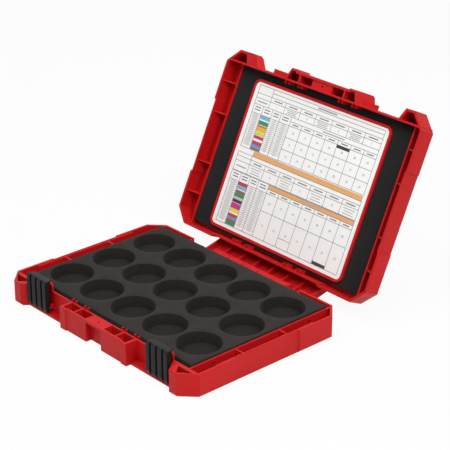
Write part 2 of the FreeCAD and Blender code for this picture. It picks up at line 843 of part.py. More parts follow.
def make_lid_fronts(body):
    """A ledge beside each latch, and the window in the front wall that the latch hooks into."""
    ledge = box(
        d.handleHalf - d.handleWall / 2,
        d.ledgeEnd,
        lid_wall_front - d.ledgeReach,
        lid_wall_front + d.innerWall / 2,
    )
    pad(body, "LidLedges", both_sides(ledge), lid_rim + d.ledgeDrop, d.ledgeThickness)
    nose_low = d.latchPivotHeight + d.latchHeight - d.latchPlateThickness - d.latchNoseLip
    sill = nose_low - axis_z - d.wingStopGap
    windows = both_sides(box(
        d.latchCentre - d.windowHalf,
        d.latchCentre + d.windowHalf,
        lid_wall_front,
        lid_bay_front,
    ))
    cut(body, "LatchWindows", windows, sill, d.windowHeight)


def make_lid_panel(body):
    """The chart panel: raised inside the lid, dished in from outside, with a lip round the chart."""
    half = d.chartWidth / 2 + d.chartGap
    lip = half + d.chartLip
    low = chart_front - d.chartGap
    high = chart_back + d.chartGap
    level = chart_level - d.chartLipHeight
    pad(body, "ChartPanel", [box(-lip, lip, low - d.chartLip, high + d.chartLip)], level,
        lid_top - d.lidSkin / 2 - level)

    def panel_corner(edge):
        x = abs(edge.Vertexes[0].X)
        return is_upright(edge) and abs(x - lip.value) < 1e-3
    dress(body, "PartDesign::Fillet", "PanelRounds", "Radius", d.chartRound + d.chartLip, panel_corner)
    cut(body, "ChartSeat", [box(-half, half, low, high)], level, d.chartLipHeight)

    def seat_corner(edge):
        x = abs(edge.Vertexes[0].X)
        return is_upright(edge) and abs(x - half.value) < 1e-3
    dress(body, "PartDesign::Fillet", "SeatRounds", "Radius", d.chartRound, seat_corner)
    inset = d.lidSkin
    dish = box(-lip + inset, lip - inset, low - d.chartLip + inset, high + d.chartLip - inset)
    dish_floor = chart_level + d.lidSkin
    cut(body, "PanelDish", [dish], dish_floor, lid_top - dish_floor)


def strap_height(y):
    """Height at a depth y of the wing's inner line, which lies parallel to its outer face."""
    lean = d.wingAngle
    return (d.wingStrapInner - y * cosine(lean)) / sine(lean)


def make_lid_wing(body):
    """Hinge wing: a skin that goes down from the lid's top edge and round the axis, with ears inside."""
    lean = d.wingAngle
    inner = d.wingRadius - d.wingSkin
    lip_angle = d.openAngle + arcsine((d.knuckleRadius + d.wingStopGap) / inner) - 180

    def on_arc(radius, angle):
        return radius * cosine(angle), radius * sine(angle)

    def on_line(radius, height):
        return (radius - height * sine(lean)) / cosine(lean), height

    root = lid_back - d.outerWall
    skin = [
        on_arc(d.wingRadius, lip_angle),
        on_arc(d.wingRadius, lean) + (1,),
        on_line(d.wingRadius, lid_top),
        (root, lid_top),
        (root, lid_inside),
        on_line(inner, lid_inside),
        on_arc(inner, lean),
        on_arc(inner, lip_angle) + (-1,),
    ]
    across(body, "PartDesign::Pad", "WingSkin", [skin], d.wingWidth)
    ear = [
        on_arc(d.wingRadius, lip_angle),
        on_arc(d.wingRadius, lean) + (1,),
        on_line(d.wingRadius, lid_top),
        (root, lid_top),
        (root, strap_height(root)),
        on_arc(d.wingStrapInner, lean),
        (0, 0),
    ]
    span = d.wingWidth - d.earThickness
    pitch = span / (d.earCount - 1)
    plate = across(body, "PartDesign::Pad", "WingEar", [ear], d.earThickness, -span / 2)
    row_along_x(body, "WingEars", plate, span, d.earCount)
    boss_span = pitch * (d.earCount - 3)
    boss_sketch = make_sketch(body, "EarBossSketch", "YZ_Plane", (0, 0, -boss_span / 2))
    draw_circle(boss_sketch, 0, 0, d.knuckleRadius)
    boss = extrude(body, "PartDesign::Pad", "EarBoss", boss_sketch, d.earThickness, midplane=True)
    row_along_x(body, "EarBosses", boss, boss_span, d.earCount - 2)
    bore(body, "EarBore", d.hingePinRadius + d.hingeRunningFit, hinge_pin_length())


def make_hinge_pin():
    pin = doc.addObject("Part::Cylinder", "hinge_pin")
    pin.Label = "hinge_pin"
    bind(pin, "Radius", d.hingePinRadius)
    bind(pin, "Height", hinge_pin_length())
    lay_along_x(pin, -hinge_pin_length() / 2, axis_y, axis_z)
    return pin


def lay_along_x(pin, start, y, z):
    place = FreeCAD.Vector(start.value, y.value, z.value)
    pin.Placement = FreeCAD.Placement(place, FreeCAD.Rotation(FreeCAD.Vector(0, 1, 0), 90))
    pin.setExpression("Placement.Base.x", start.formula)
    pin.setExpression("Placement.Base.y", y.formula)
    pin.setExpression("Placement.Base.z", z.formula)


def make_latch(label, way):
    """Snap latch, drawn about its pivot: ribbed front, barrel on the pin and a hooked top plate."""
    body = make_body(label)
    face = -d.latchFrontReach
    rear = face + d.latchThickness
    under = d.latchHeight - d.latchPlateThickness
    nose = d.latchNoseReach
    toe = -(d.latchFrontReach * cosine(arcsine(d.latchBottomReach / d.latchFrontReach)))
    profile = [
        (rear, -d.latchBottomReach),
        (rear, under),
        (nose - d.latchNoseWidth, under),
        (nose - d.latchNoseWidth, under - d.latchNoseLip),
        (nose, under - d.latchNoseLip),
        (nose, d.latchHeight - d.latchNoseLip),
        (rear, d.latchHeight),
        (face, d.latchHeight),
        (face, 0),
        (toe, -d.latchBottomReach, 1),
    ]
    across(body, "PartDesign::Pad", label + "Blank", [profile], d.latchWidth)
    front_face = face.value

    def at_top_front(edge):
        return is_level_at(driving["latchHeight"])(edge) and abs(edge.CenterOfMass.y - front_face) < 1e-4
    dress(body, "PartDesign::Fillet", label + "TopRound", "Radius", d.latchTopRound, at_top_front)
    barrel_sketch = make_sketch(body, label + "BarrelSketch", "YZ_Plane", (0, 0, 0))
    draw_circle(barrel_sketch, 0, 0, d.latchBarrelRadius)
    extrude(body, "PartDesign::Pad", label + "Barrel", barrel_sketch, d.latchWidth, midplane=True)
    half = d.latchWidth / 2
    low = -d.latchBottomReach
    height = d.latchHeight - low
    side_end = face + d.latchSideDepth
    run = nose - side_end
    flanges = both_sides(box(half - d.latchFlange, half, rear - d.latchThickness / 2, side_end))
    pad(body, label + "Flanges", flanges, low, under - low)
    sides = both_sides([
        (half, side_end),
        (half, nose),
        (half - run * d.latchTaper, nose),
    ])
    cut(body, label + "Sides", sides, low, height)
    grooves = []
    for step in (-1, 0, 1):
        middle = d.latchGroovePitch * step
        reach = d.latchGrooveWidth / 2
        grooves.append(box(middle - reach, middle + reach, face, face + d.latchGrooveDepth))
    cut(body, label + "Grooves", grooves, low, height)
    relief = d.latchEarRelief
    slot = [
        (nose, low),
        (nose, relief),
        (0, relief),
        (-relief, 0, 1),
        (-relief, low),
    ]
    across(body, "PartDesign::Pocket", label + "EarSlot", [slot], d.latchEarThickness + 2 * d.latchEarGap,
           -way * d.latchEarCentre)
    bore(body, label + "Bore", d.latchPinRadius + d.latchRunningFit, d.latchWidth)
    place = FreeCAD.Vector(way * driving["latchCentre"], pivot_y.value, driving["latchPivotHeight"])
    body.Placement = FreeCAD.Placement(place, FreeCAD.Rotation())
    body.setExpression("Placement.Base.x", (way * d.latchCentre).formula)
    body.setExpression("Placement.Base.y", pivot_y.formula)
    body.setExpression("Placement.Base.z", d.latchPivotHeight.formula)
    return body


def make_latch_pin(label, way):
    inner_end = d.latchCentre - d.latchWidth / 2 + d.latchPinRecess
    outer_end = block_face(pivot_y) + d.latchPinInBlock
    pin = doc.addObject("Part::Cylinder", label)
    pin.Label = label
    bind(pin, "Radius", d.latchPinRadius)
    bind(pin, "Height", outer_end - inner_end)
    lay_along_x(pin, inner_end if way > 0 else -outer_end, pivot_y, d.latchPivotHeight)
    return pin


def foam_outline():
    gap = d.foamSideGap
    return box(-bay_side + gap, bay_side - gap, bay_front + d.foamFrontGap, bay_back - gap)


def make_backing_foam():
    body = make_body("backing_foam")
    pad(body, "BackingSheet", [foam_outline()], d.floorThickness, d.backingFoamThickness)
    return body


def make_pocket_foam():
    """Upper foam sheet, cut right through with rows of round pockets."""
    body = make_body("pocket_foam")
    level = d.floorThickness + d.backingFoamThickness
    pad(body, "PocketSheet", [foam_outline()], level, d.pocketFoamThickness)
    doc.recompute()
    sketch = make_sketch(body, "PocketSketch", "XY_Plane", (0, 0, level))
    middle_y = (bay_front + bay_back) / 2 + d.pocketShift
    span_x = d.pocketPitchAcross * (d.pocketColumns - 1)
    span_y = d.pocketPitchDeep * (d.pocketRows - 1)
    draw_circle(sketch, -span_x / 2, middle_y - span_y / 2, d.pocketDiameter / 2)
    pocket = extrude(body, "PartDesign::Pocket", "Pocket", sketch, d.pocketFoamThickness, reversed_way=True)
    doc.recompute()
    pattern = body.newObject("PartDesign::MultiTransform", "Pockets")
    pattern.Originals = [pocket]
    rows = []
    for name, axis, span, count in (
        ("PocketsAcross", "H_Axis", span_x, d.pocketColumns),
        ("PocketsDeep", "V_Axis", span_y, d.pocketRows),
    ):
        row = body.newObject("PartDesign::LinearPattern", name)
        row.Direction = (sketch, [axis])
        bind(row, "Length", span)
        row.Occurrences = int(count.value)
        row.setExpression("Occurrences", count.formula)
        rows.append(row)
    pattern.Transformations = rows
    body.Tip = pattern
    return body


def make_lid_foam():
    """Foam lining of the lid, a frame round the chart panel."""
    body = make_body("lid_foam")
    gap = d.foamSideGap
    level = lid_inside - d.lidFoamThickness
    outline = box(-lid_bay_side + gap, lid_bay_side - gap, lid_bay_front + gap, lid_bay_back - d.lidFoamBackGap)
    pad(body, "LiningSheet", [outline], level, d.lidFoamThickness)
    margin = d.chartGap + d.chartLip + d.lidFoamWindowGap
    half = d.chartWidth / 2 + margin
    cut(body, "LiningWindow", [box(-half, half, chart_front - margin, chart_back + margin)],
        level, d.lidFoamThickness)

    def window_corner(edge):
        return is_upright(edge) and abs(abs(edge.Vertexes[0].X) - half.value) < 1e-3
    dress(body, "PartDesign::Fillet", "WindowRounds", "Radius", d.chartRound + d.chartLip, window_corner)
    open_lid(body)
    return body


def make_chart():
    body = make_body("chart_label")
    half = d.chartWidth / 2
    pad(body, "ChartSheet", [box(-half, half, chart_front, chart_back)],
        chart_level - d.chartThickness, d.chartThickness)
    dress(body, "PartDesign::Fillet", "ChartRounds", "Radius", d.chartRound, is_upright)
    open_lid(body)
    return body


pieces = [
    make_base(),
    make_lid(),
    make_hinge_pin(),
    make_latch("latch_left", -1),
    make_latch("latch_right", 1),
    make_latch_pin("latch_pin_left", -1),
    make_latch_pin("latch_pin_right", 1),
    make_backing_foam(),
    make_pocket_foam(),
    make_lid_foam(),
    make_chart(),
]
doc.recompute()

for item in doc.Objects:
    faults = [word for word in item.State if word in ("Invalid", "Error")]
    if faults:
        raise RuntimeError("%s is %s" % (item.Name, ", ".join(faults)))
for piece in pieces:
    if piece.Shape.isNull() or not piece.Shape.isValid():
        raise RuntimeError("%s has no valid shape" % piece.Label)

os.makedirs("parts", exist_ok=True)
for piece in pieces:
    piece.Shape.exportStep("parts/%s.step" % piece.Label)
    box_ = piece.Shape.BoundBox
    print("%s: %d solids, %.0f mm3, X %.1f..%.1f Y %.1f..%.1f Z %.1f..%.1f" % (
        piece.Label, len(piece.Shape.Solids), piece.Shape.Volume,
        box_.XMin, box_.XMax, box_.YMin, box_.YMax, box_.ZMin, box_.ZMax))
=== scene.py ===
import bmesh
import bpy
import math
from mathutils import Matrix, Vector, noise


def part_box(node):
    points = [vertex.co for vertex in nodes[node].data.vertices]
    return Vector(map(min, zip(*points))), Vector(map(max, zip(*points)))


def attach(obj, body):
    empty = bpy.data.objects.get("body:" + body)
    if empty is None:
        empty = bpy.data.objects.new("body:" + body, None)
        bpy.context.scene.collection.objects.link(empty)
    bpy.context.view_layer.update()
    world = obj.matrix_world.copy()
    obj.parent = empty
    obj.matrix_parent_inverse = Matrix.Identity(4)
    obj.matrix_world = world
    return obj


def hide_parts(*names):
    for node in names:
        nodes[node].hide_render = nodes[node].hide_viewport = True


# Die carrying case, lid open. Metres, +Z up, front towards -Y. Sizes of pieces are kept in mm.

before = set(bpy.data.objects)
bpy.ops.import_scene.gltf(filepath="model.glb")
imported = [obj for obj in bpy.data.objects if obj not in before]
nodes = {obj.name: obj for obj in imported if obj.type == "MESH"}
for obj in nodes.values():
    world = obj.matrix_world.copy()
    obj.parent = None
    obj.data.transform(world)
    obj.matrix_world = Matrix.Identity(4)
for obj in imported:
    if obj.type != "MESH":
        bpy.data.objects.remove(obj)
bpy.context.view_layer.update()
mm = 0.001
weld = 0.02 * mm  # points closer than this are one point
print("frame loaded:", len(nodes), "nodes")

lidTurn = math.radians(-115.0)  # the lid as photographed, turned about the hinge pin
hingeY, hingeZ = 127.2, 16.2
lidPlace = Matrix.Translation(Vector((0, hingeY, hingeZ)) * mm) @ Matrix.Rotation(lidTurn, 4, "X")


# Materials

def newMaterial(name):
    material = bpy.data.materials.new(name)
    material.use_nodes = True
    tree = material.node_tree
    shader = tree.nodes["Principled BSDF"]
    coords = tree.nodes.new("ShaderNodeTexCoord")
    return material, tree, shader, coords


def noiseNode(tree, coords, scale, detail=3.0, roughness=0.55):
    node = tree.nodes.new("ShaderNodeTexNoise")
    node.inputs["Scale"].default_value = scale
    node.inputs["Detail"].default_value = detail
    node.inputs["Roughness"].default_value = roughness
    tree.links.new(coords.outputs["Object"], node.inputs["Vector"])
    return node


def rampNode(tree, source, low, high, lowAt=0.3, highAt=0.7):
    node = tree.nodes.new("ShaderNodeValToRGB")
    node.color_ramp.elements[0].position = lowAt
    node.color_ramp.elements[0].color = low
    node.color_ramp.elements[1].position = highAt
    node.color_ramp.elements[1].color = high
    tree.links.new(source, node.inputs["Fac"])
    return node


def grey(value):
    return (value, value, value, 1)


def addBump(tree, shader, heights, strength, distance):
    bump = tree.nodes.new("ShaderNodeBump")
    bump.inputs["Strength"].default_value = strength
    bump.inputs["Distance"].default_value = distance
    tree.links.new(heights, bump.inputs["Height"])
    tree.links.new(bump.outputs["Normal"], shader.inputs["Normal"])
    return bump


mouldedLook = {
    "red": {
        "light": (0.60, 0.010, 0.012, 1),
        "deep": (0.50, 0.008, 0.009, 1),
        "roughLow": 0.40,
        "roughHigh": 0.52,
        "grain": 0.16,
        "shine": 0.18,
    },
    "latch": {
        "light": (0.013, 0.0125, 0.012, 1),
        "deep": (0.007, 0.0068, 0.0065, 1),
        "roughLow": 0.42,
        "roughHigh": 0.56,
        "grain": 0.22,
        "shine": 0.17,
    },
}
mouldedSurface = {
    "cloudScale": 14.0,
    "smudgeScale": 55.0,
    "grainScale": 1600.0,
    "grainDepth": 0.00012,
    "edgeSoftness": 0.0006,
    "ior": 1.49,
}


def makeMoulded(name, look):
    material, tree, shader, coords = newMaterial(name)
    surface = mouldedSurface
    clouds = noiseNode(tree, coords, surface["cloudScale"], 4.0)
    colour = rampNode(tree, clouds.outputs["Fac"], look["deep"], look["light"], 0.25, 0.75)
    tree.links.new(colour.outputs["Color"], shader.inputs["Base Color"])
    smudge = noiseNode(tree, coords, surface["smudgeScale"], 5.0, 0.65)
    rough = rampNode(tree, smudge.outputs["Fac"], grey(look["roughLow"]), grey(look["roughHigh"]))
    tree.links.new(rough.outputs["Color"], shader.inputs["Roughness"])
    grain = noiseNode(tree, coords, surface["grainScale"], 2.0)
    bump = addBump(tree, shader, grain.outputs["Fac"], look["grain"], surface["grainDepth"])
    softEdge = tree.nodes.new("ShaderNodeBevel")
    softEdge.samples = 6
    softEdge.inputs["Radius"].default_value = surface["edgeSoftness"]
    tree.links.new(softEdge.outputs["Normal"], bump.inputs["Normal"])
    shader.inputs["IOR"].default_value = surface["ior"]
    shader.inputs["Specular IOR Level"].default_value = look["shine"]
    return material


foamLook = {
    "insert": {"light": (0.031, 0.027, 0.0235, 1), "deep": (0.013, 0.011, 0.0098, 1)},
    "backing": {"light": (0.016, 0.0145, 0.0135, 1), "deep": (0.008, 0.0072, 0.0067, 1)},
    "lining": {"light": (0.016, 0.016, 0.017, 1), "deep": (0.008, 0.008, 0.009, 1)},
}
foamSurface = {
    "cellScale": 1500.0,
    "cellBump": 0.35,
    "cellDepth": 0.00025,
    "patchScale": 22.0,
    "patchLow": 0.82,
    "patchHigh": 1.12,
    "skinScale": 700.0,
    "roughLow": 0.84,
    "roughHigh": 0.98,
    "sheen": 0.05,
    "sheenRough": 0.6,
    "shine": 0.09,
}


def makeFoam(name, look):
    material, tree, shader, coords = newMaterial(name)
    surface = foamSurface
    cells = tree.nodes.new("ShaderNodeTexVoronoi")
    cells.inputs["Scale"].default_value = surface["cellScale"]
    tree.links.new(coords.outputs["Object"], cells.inputs["Vector"])
    speckle = rampNode(tree, cells.outputs["Distance"], look["deep"], look["light"], 0.12, 0.62)
    patches = noiseNode(tree, coords, surface["patchScale"], 4.0, 0.6)
    paler, darker = grey(surface["patchHigh"]), grey(surface["patchLow"])
    shade = rampNode(tree, patches.outputs["Fac"], darker, paler, 0.25, 0.75)
    mix = tree.nodes.new("ShaderNodeMix")
    mix.data_type = "RGBA"
    mix.blend_type = "MULTIPLY"
    mix.inputs["Factor"].default_value = 1.0
    tree.links.new(speckle.outputs["Color"], mix.inputs["A"])
    tree.links.new(shade.outputs["Color"], mix.inputs["B"])
    tree.links.new(mix.outputs["Result"], shader.inputs["Base Color"])
    skin = noiseNode(tree, coords, surface["skinScale"], 3.0)
    rough = rampNode(tree, skin.outputs["Fac"], grey(surface["roughLow"]), grey(surface["roughHigh"]))
    tree.links.new(rough.outputs["Color"], shader.inputs["Roughness"])
    addBump(tree, shader, cells.outputs["Distance"], surface["cellBump"], surface["cellDepth"])
    shader.inputs["Sheen Weight"].default_value = surface["sheen"]
    shader.inputs["Sheen Roughness"].default_value = surface["sheenRough"]
    shader.inputs["Specular IOR Level"].default_value = surface["shine"]
    return material


paperLook = {
    "deep": (0.93, 0.93, 0.91, 1),
    "light": (0.97, 0.97, 0.955, 1),
    "roughLow": 0.30,
    "roughHigh": 0.42,
    "fibreScale": 260.0,
    "fibreBump": 0.05,
    "fibreDepth": 0.0001,
    "filmScale": 30.0,
}


def makePaper(name):
    material, tree, shader, coords = newMaterial(name)
    fibres = noiseNode(tree, coords, paperLook["fibreScale"], 4.0)
    colour = rampNode(tree, fibres.outputs["Fac"], paperLook["deep"], paperLook["light"])
    tree.links.new(colour.outputs["Color"], shader.inputs["Base Color"])
    film = noiseNode(tree, coords, paperLook["filmScale"], 3.0)
    rough = rampNode(tree, film.outputs["Fac"], grey(paperLook["roughLow"]), grey(paperLook["roughHigh"]))
    tree.links.new(rough.outputs["Color"], shader.inputs["Roughness"])
    addBump(tree, shader, fibres.outputs["Fac"], paperLook["fibreBump"], paperLook["fibreDepth"])
    return material


inkLook = {
    "screenScale": 900.0,
    "deeper": 0.82,
    "lighter": 1.1,
    "rough": 0.4,
}


def makeInk(name, colour):
    material, tree, shader, coords = newMaterial(name)
    screen = noiseNode(tree, coords, inkLook["screenScale"], 2.0)
    deep = [channel * inkLook["deeper"] for channel in colour] + [1]
    light = [min(1, channel * inkLook["lighter"]) for channel in colour] + [1]
    tone = rampNode(tree, screen.outputs["Fac"], deep, light, 0.3, 0.7)
    tree.links.new(tone.outputs["Color"], shader.inputs["Base Color"])
    shader.inputs["Roughness"].default_value = inkLook["rough"]
    return material


inkColours = {
    "dark": (0.045, 0.045, 0.05),
    "mid": (0.40, 0.40, 0.41),
    "orange": (0.83, 0.42, 0.16),
    "lightBlue": (0.22, 0.46, 0.68),
    "green": (0.02, 0.27, 0.11),
    "vermilion": (0.72, 0.18, 0.07),
    "amber": (0.82, 0.46, 0.05),
    "yellow": (0.82, 0.72, 0.06),
    "lime": (0.50, 0.64, 0.18),
    "crimson": (0.56, 0.03, 0.08),
    "blue": (0.14, 0.32, 0.60),
    "brown": (0.27, 0.11, 0.05),
    "magenta": (0.56, 0.02, 0.27),
    "pink": (0.70, 0.42, 0.52),
    "black": (0.02, 0.02, 0.02),
}


steelLook = {
    "deep": 0.42,
    "light": 0.62,
    "roughLow": 0.22,
    "roughHigh": 0.38,
    "lineScale": 60.0,
    "lineStretch": (1, 40, 40),
}


def makeSteel(name):
    material, tree, shader, coords = newMaterial(name)
    mapping = tree.nodes.new("ShaderNodeMapping")
    mapping.inputs["Scale"].default_value = steelLook["lineStretch"]
    tree.links.new(coords.outputs["Object"], mapping.inputs["Vector"])
    lines = noiseNode(tree, coords, steelLook["lineScale"], 5.0)
    tree.links.new(mapping.outputs["Vector"], lines.inputs["Vector"])
    colour = rampNode(tree, lines.outputs["Fac"], grey(steelLook["deep"]), grey(steelLook["light"]))
    tree.links.new(colour.outputs["Color"], shader.inputs["Base Color"])
    rough = rampNode(tree, lines.outputs["Fac"], grey(steelLook["roughLow"]), grey(steelLook["roughHigh"]))
    tree.links.new(rough.outputs["Color"], shader.inputs["Roughness"])
    shader.inputs["Metallic"].default_value = 1.0
    return material


redPlastic = makeMoulded("redPlastic", mouldedLook["red"])
latchPlastic = makeMoulded("latchPlastic", mouldedLook["latch"])
insertFoam = makeFoam("insertFoam", foamLook["insert"])
backingFoam = makeFoam("backingFoam", foamLook["backing"])
liningFoam = makeFoam("liningFoam", foamLook["lining"])
chartPaper = makePaper("chartPaper")
inkNames = list(inkColours)
inks = [makeInk("ink" + name.capitalize(), inkColours[name]) for name in inkNames]
pinSteel = makeSteel("pinSteel")
print("materials made")


# Shells, pins and the chart sheet keep their CAD shapes

def dressNode(name, material):
    nodes[name].data.materials.clear()
    nodes[name].data.materials.append(material)


for name in ("base_shell", "lid_shell"):
    dressNode(name, redPlastic)
for name in ("hinge_pin", "latch_pin_left", "latch_pin_right"):
    dressNode(name, pinSteel)
dressNode("chart_label", chartPaper)


# Helpers for new pieces

def sharpEdges(bm, angle=60):
    return [edge for edge in bm.edges if len(edge.link_faces) == 2
            and edge.calc_face_angle() > math.radians(angle)]


def bevelEdges(bm, edges, width, segments=3):
    bmesh.ops.bevel(bm, geom=edges, offset=width, offset_type="OFFSET", segments=segments,
                    profile=0.5, affect="EDGES", material=-1, clamp_overlap=True)


def mergedCopy(name, flatAngle=1.0):
    bm = bmesh.new()
    bm.from_mesh(nodes[name].data)
    bm.transform(nodes[name].matrix_world)
    bmesh.ops.remove_doubles(bm, verts=bm.verts, dist=weld)
    bmesh.ops.dissolve_limit(bm, angle_limit=math.radians(flatAngle), verts=bm.verts, edges=bm.edges)
    return bm


def finishPiece(bm, name, materials, body, shadeAngle=35):
    bmesh.ops.recalc_face_normals(bm, faces=bm.faces)
    for face in bm.faces:
        face.smooth = True
    for edge in sharpEdges(bm, shadeAngle):
        edge.smooth = False
    mesh = bpy.data.meshes.new(name)
    bm.to_mesh(mesh)
    bm.free()
    for material in materials:
        mesh.materials.append(material)
    piece = bpy.data.objects.new(name, mesh)
    bpy.context.scene.collection.objects.link(piece)
    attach(piece, body)
    return piece


# Latches, with the edges of their ribs rounded as moulded

latchRound = {
    "ribEdge": 1.1,
    "ribSteps": 4,
    "frontZone": 2.4,
    "shortest": 20,
}


def makeRoundedLatch(name, pieceName):
    low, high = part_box(name)
    bm = mergedCopy(name)
    zone = low.y + latchRound["frontZone"] * mm
    ribs = []
    for edge in sharpEdges(bm):
        along = edge.verts[1].co - edge.verts[0].co
        upright = abs(along.z) > 0.9 * along.length and along.length > latchRound["shortest"] * mm
        if upright and all(vert.co.y < zone for vert in edge.verts):
            ribs.append(edge)
    bevelEdges(bm, ribs, latchRound["ribEdge"] * mm, latchRound["ribSteps"])
    piece = finishPiece(bm, pieceName, [latchPlastic], name)
    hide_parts(name)


makeRoundedLatch("latch_left", "latchLeftRounded")
makeRoundedLatch("latch_right", "latchRightRounded")
print("latches made")


# Foam insert with its round pockets

foamInsert = {
    "columns": 5,
    "rows": 3,
    "pitchAcross": 57.0,
    "pitchDeep": 62.5,
    "gridMiddle": 6.8,
    "radius": 26.0,
    "circleParts": 96,
    "rimRound": 0.9,
    "crown": 0.25,
    "crownZone": 0.2,
    "ripples": ((40, 0.5), (130, 0.25)),
    "tolerance": 0.01,
}


def pocketCell(bm, centre, level):
    parts = foamInsert["circleParts"]
    rim = bmesh.ops.create_circle(bm, cap_ends=False, segments=parts, radius=foamInsert["radius"] * mm,
                                  matrix=Matrix.Translation((centre.x, centre.y, level)))["verts"]
    rimEdges = list({edge for vert in rim for edge in vert.link_edges})
    halfX = foamInsert["pitchAcross"] / 2 * mm
    halfY = foamInsert["pitchDeep"] / 2 * mm
    corners = [bm.verts.new((centre.x + sx * halfX, centre.y + sy * halfY, level))
               for sx, sy in ((1, 1), (-1, 1), (-1, -1), (1, -1))]
    border = [bm.edges.new((corners[i], corners[(i + 1) % 4])) for i in range(4)]
    split = bmesh.ops.subdivide_edges(bm, edges=border, cuts=parts // 4 - 1)
    borderEdges = [item for item in split["geom"] if isinstance(item, bmesh.types.BMEdge)]
    borderEdges = list(set(borderEdges + [edge for edge in border if edge.is_valid]))
    bmesh.ops.bridge_loops(bm, edges=rimEdges + borderEdges)


def makeFoamInsert():
    low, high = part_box("pocket_foam")
    bm = bmesh.new()
    columns, rows = foamInsert["columns"], foamInsert["rows"]
    across, deep = foamInsert["pitchAcross"] * mm, foamInsert["pitchDeep"] * mm
    middle = Vector((0, foamInsert["gridMiddle"] * mm, 0))
    for column in range(columns):
        for row in range(rows):
            step = Vector(((column - (columns - 1) / 2) * across, (row - (rows - 1) / 2) * deep, 0))
            pocketCell(bm, middle + step, high.z)
    bmesh.ops.remove_doubles(bm, verts=bm.verts, dist=weld)
    near = foamInsert["tolerance"] * mm
    for vert in bm.verts:
        if abs(abs(vert.co.x) - across * columns / 2) < near:
            vert.co.x = low.x if vert.co.x < 0 else high.x
        if abs(abs(vert.co.y - middle.y) - deep * rows / 2) < near:
            vert.co.y = low.y if vert.co.y < middle.y else high.y
    bmesh.ops.recalc_face_normals(bm, faces=bm.faces)
    if sum(face.normal.z for face in bm.faces) < 0:
        bmesh.ops.reverse_faces(bm, faces=bm.faces)
    bmesh.ops.solidify(bm, geom=bm.faces[:], thickness=(high.z - low.z))
    top = max(v.co.z for v in bm.verts)
    for vert in bm.verts:
        vert.co.z += high.z - top
    rims = [edge for edge in sharpEdges(bm) if all(abs(v.co.z - high.z) < near for v in edge.verts)]
    bevelEdges(bm, rims, foamInsert["rimRound"] * mm)
    for vert in bm.verts:
        if vert.co.z > high.z - foamInsert["crownZone"] * mm:
            ripple = sum(noise.noise(vert.co * scale) * share for scale, share in foamInsert["ripples"])
            vert.co.z -= foamInsert["crown"] * mm * (0.5 + 0.5 * ripple)
    piece = finishPiece(bm, "foamInsert", [insertFoam], "base")
    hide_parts("pocket_foam")


foamBacking = {
    "partsAcross": 96,
    "partsDeep": 68,
    "drop": 0.3,
    "ripple": 0.2,
    "rippleScale": 60,
    "thinner": 0.6,
    "topGap": 0.1,
}


def makeFoamBacking():
    low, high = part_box("backing_foam")
    size = high - low
    bm = bmesh.new()
    centre = (low + high) / 2
    stretch = Matrix.Diagonal((size.x / 2, size.y / 2, 1, 1))
    bmesh.ops.create_grid(bm, x_segments=foamBacking["partsAcross"], y_segments=foamBacking["partsDeep"],
                          size=1.0, matrix=Matrix.Translation((centre.x, centre.y, high.z)) @ stretch)
    for vert in bm.verts:
        ripple = noise.noise(vert.co * foamBacking["rippleScale"])
        vert.co.z -= (foamBacking["drop"] + foamBacking["ripple"] * ripple) * mm
    bmesh.ops.solidify(bm, geom=bm.faces[:], thickness=size.z - foamBacking["thinner"] * mm)
    rise = high.z - foamBacking["topGap"] * mm - max(v.co.z for v in bm.verts)
    bmesh.ops.translate(bm, verts=bm.verts, vec=(0, 0, rise))
    piece = finishPiece(bm, "foamBacking", [backingFoam], "base")
    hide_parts("backing_foam")


lidLining = {"edgeRound": 0.8}


def makeLidLining():
    bm = mergedCopy("lid_foam")
    bevelEdges(bm, sharpEdges(bm), lidLining["edgeRound"] * mm)
    piece = finishPiece(bm, "lidLining", [liningFoam], "lid")
    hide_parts("lid_foam")


makeFoamInsert()
makeFoamBacking()
makeLidLining()
print("foam made")


# Printing on the chart in the lid: plain bars and numbers stand for the words

